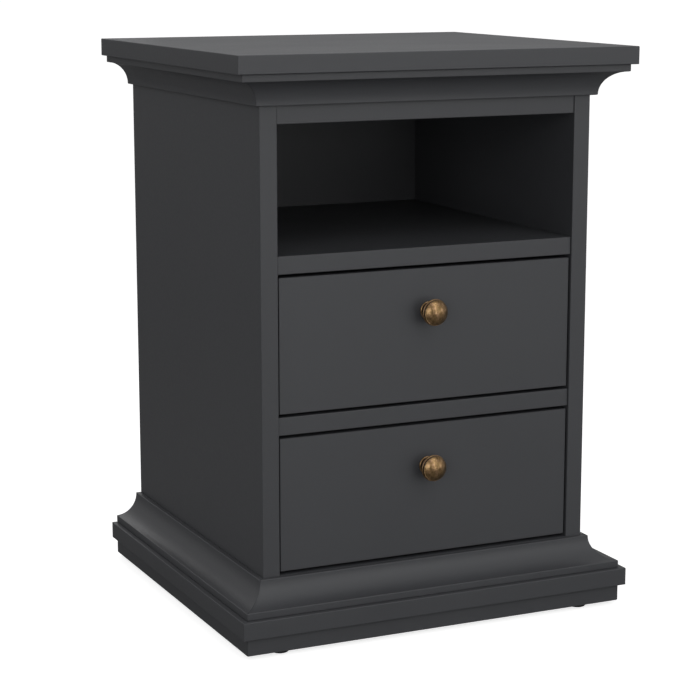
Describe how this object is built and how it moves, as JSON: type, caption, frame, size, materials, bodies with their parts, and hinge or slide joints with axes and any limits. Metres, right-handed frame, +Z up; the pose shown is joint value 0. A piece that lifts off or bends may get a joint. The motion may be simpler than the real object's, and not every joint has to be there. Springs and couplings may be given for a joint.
{
  "type": "nightstand",
  "caption": "Nightstand with an open compartment over drawers on roller runners, cove mouldings under its top and above its base, and round domed knobs.",
  "frame": {"origin": "on the floor, under the centre of the top", "axes": "+Z up, +X to the right and -Y forwards as a person facing the drawers sees it"},
  "size_m": [0.48, 0.44, 0.647],
  "materials": {
    "grey_lacquer": "matt dark grey lacquer on board",
    "drawer_box": "grey foil on board",
    "hardboard": "raw brown hardboard",
    "knob_brass": "brushed antique patina",
    "runner_enamel": "white epoxy coat on sheet steel",
    "roller_nylon": "moulded nylon",
    "zinc_steel": "bright zinc plate",
    "dowel_beech": "bare fluted beech",
    "glide_plastic": "moulded black plastic"
  },
  "bodies": {
    "cabinet": {"top_panel": "grey_lacquer", "cornice_front": "grey_lacquer", "cornice_left": "grey_lacquer", "cornice_right": "grey_lacquer", "side_panel_left": "grey_lacquer", "side_panel_right": "grey_lacquer", "top_rail_front": "grey_lacquer", "top_rail_back": "grey_lacquer", "shelf_panel": "grey_lacquer", "divider_rail": "grey_lacquer", "bottom_panel": "grey_lacquer", "back_panel": "hardboard", "base_moulding_front": "grey_lacquer", "base_moulding_left": "grey_lacquer", "base_moulding_right": "grey_lacquer", "base_panel": "grey_lacquer", "plinth_front": "grey_lacquer", "plinth_left": "grey_lacquer", "plinth_right": "grey_lacquer", "plinth_back": "grey_lacquer", "floor_glides": "glide_plastic", "carcase_dowels": "dowel_beech", "carcase_cam_discs": "zinc_steel", "carcase_cam_bolts": "zinc_steel", "base_screws": "zinc_steel", "back_panel_nails": "zinc_steel", "runner_upper_left": "runner_enamel", "runner_upper_right": "runner_enamel", "runner_lower_left": "runner_enamel", "runner_lower_right": "runner_enamel", "runner_screws": "zinc_steel"},
    "drawer_upper": {"drawer_upper_front": "grey_lacquer", "drawer_upper_side_left": "drawer_box", "drawer_upper_side_right": "drawer_box", "drawer_upper_back": "drawer_box", "drawer_upper_bottom": "hardboard", "drawer_upper_slide_left": "runner_enamel", "drawer_upper_slide_right": "runner_enamel", "drawer_upper_knob": "knob_brass", "drawer_upper_fittings": "zinc_steel", "drawer_upper_screws": "zinc_steel"},
    "drawer_lower": {"drawer_lower_front": "grey_lacquer", "drawer_lower_side_left": "drawer_box", "drawer_lower_side_right": "drawer_box", "drawer_lower_back": "drawer_box", "drawer_lower_bottom": "hardboard", "drawer_lower_slide_left": "runner_enamel", "drawer_lower_slide_right": "runner_enamel", "drawer_lower_knob": "knob_brass", "drawer_lower_fittings": "zinc_steel", "drawer_lower_screws": "zinc_steel"},
    "roller_cabinet_upper_left": {"roller_cabinet_upper_left": "roller_nylon"},
    "roller_drawer_upper_left": {"roller_drawer_upper_left": "roller_nylon"},
    "roller_cabinet_upper_right": {"roller_cabinet_upper_right": "roller_nylon"},
    "roller_drawer_upper_right": {"roller_drawer_upper_right": "roller_nylon"},
    "roller_cabinet_lower_left": {"roller_cabinet_lower_left": "roller_nylon"},
    "roller_drawer_lower_left": {"roller_drawer_lower_left": "roller_nylon"},
    "roller_cabinet_lower_right": {"roller_cabinet_lower_right": "roller_nylon"},
    "roller_drawer_lower_right": {"roller_drawer_lower_right": "roller_nylon"}
  },
  "joints": [
    {"name": "drawer_upper_travel", "type": "slide", "parent": "cabinet", "child": "drawer_upper", "axis": [0, -1, 0], "range_m": [0, 0.255]},
    {"name": "drawer_lower_travel", "type": "slide", "parent": "cabinet", "child": "drawer_lower", "axis": [0, -1, 0], "range_m": [0, 0.255]},
    {"name": "roller_cabinet_upper_left_spin", "type": "hinge", "parent": "cabinet", "child": "roller_cabinet_upper_left", "pos_m": [-0.1748, -0.146, 0.2815], "axis": [1, 0, 0], "continuous": true},
    {"name": "roller_drawer_upper_left_spin", "type": "hinge", "parent": "drawer_upper", "child": "roller_drawer_upper_left", "pos_m": [-0.1743, 0.1755, 0.281], "axis": [1, 0, 0], "continuous": true},
    {"name": "roller_cabinet_upper_right_spin", "type": "hinge", "parent": "cabinet", "child": "roller_cabinet_upper_right", "pos_m": [0.1748, -0.146, 0.2815], "axis": [1, 0, 0], "continuous": true},
    {"name": "roller_drawer_upper_right_spin", "type": "hinge", "parent": "drawer_upper", "child": "roller_drawer_upper_right", "pos_m": [0.1743, 0.1755, 0.281], "axis": [1, 0, 0], "continuous": true},
    {"name": "roller_cabinet_lower_left_spin", "type": "hinge", "parent": "cabinet", "child": "roller_cabinet_lower_left", "pos_m": [-0.1748, -0.146, 0.1055], "axis": [1, 0, 0], "continuous": true},
    {"name": "roller_drawer_lower_left_spin", "type": "hinge", "parent": "drawer_lower", "child": "roller_drawer_lower_left", "pos_m": [-0.1743, 0.1755, 0.105], "axis": [1, 0, 0], "continuous": true},
    {"name": "roller_cabinet_lower_right_spin", "type": "hinge", "parent": "cabinet", "child": "roller_cabinet_lower_right", "pos_m": [0.1748, -0.146, 0.1055], "axis": [1, 0, 0], "continuous": true},
    {"name": "roller_drawer_lower_right_spin", "type": "hinge", "parent": "drawer_lower", "child": "roller_drawer_lower_right", "pos_m": [0.1743, 0.1755, 0.105], "axis": [1, 0, 0], "continuous": true}
  ],
  "couplings": [
    {"joint": "roller_cabinet_upper_left_spin", "follows": "drawer_upper_travel", "rad_per_m": 117.65},
    {"joint": "roller_drawer_upper_left_spin", "follows": "drawer_upper_travel", "rad_per_m": 117.65},
    {"joint": "roller_cabinet_upper_right_spin", "follows": "drawer_upper_travel", "rad_per_m": 117.65},
    {"joint": "roller_drawer_upper_right_spin", "follows": "drawer_upper_travel", "rad_per_m": 117.65},
    {"joint": "roller_cabinet_lower_left_spin", "follows": "drawer_lower_travel", "rad_per_m": 117.65},
    {"joint": "roller_drawer_lower_left_spin", "follows": "drawer_lower_travel", "rad_per_m": 117.65},
    {"joint": "roller_cabinet_lower_right_spin", "follows": "drawer_lower_travel", "rad_per_m": 117.65},
    {"joint": "roller_drawer_lower_right_spin", "follows": "drawer_lower_travel", "rad_per_m": 117.65}
  ]
}
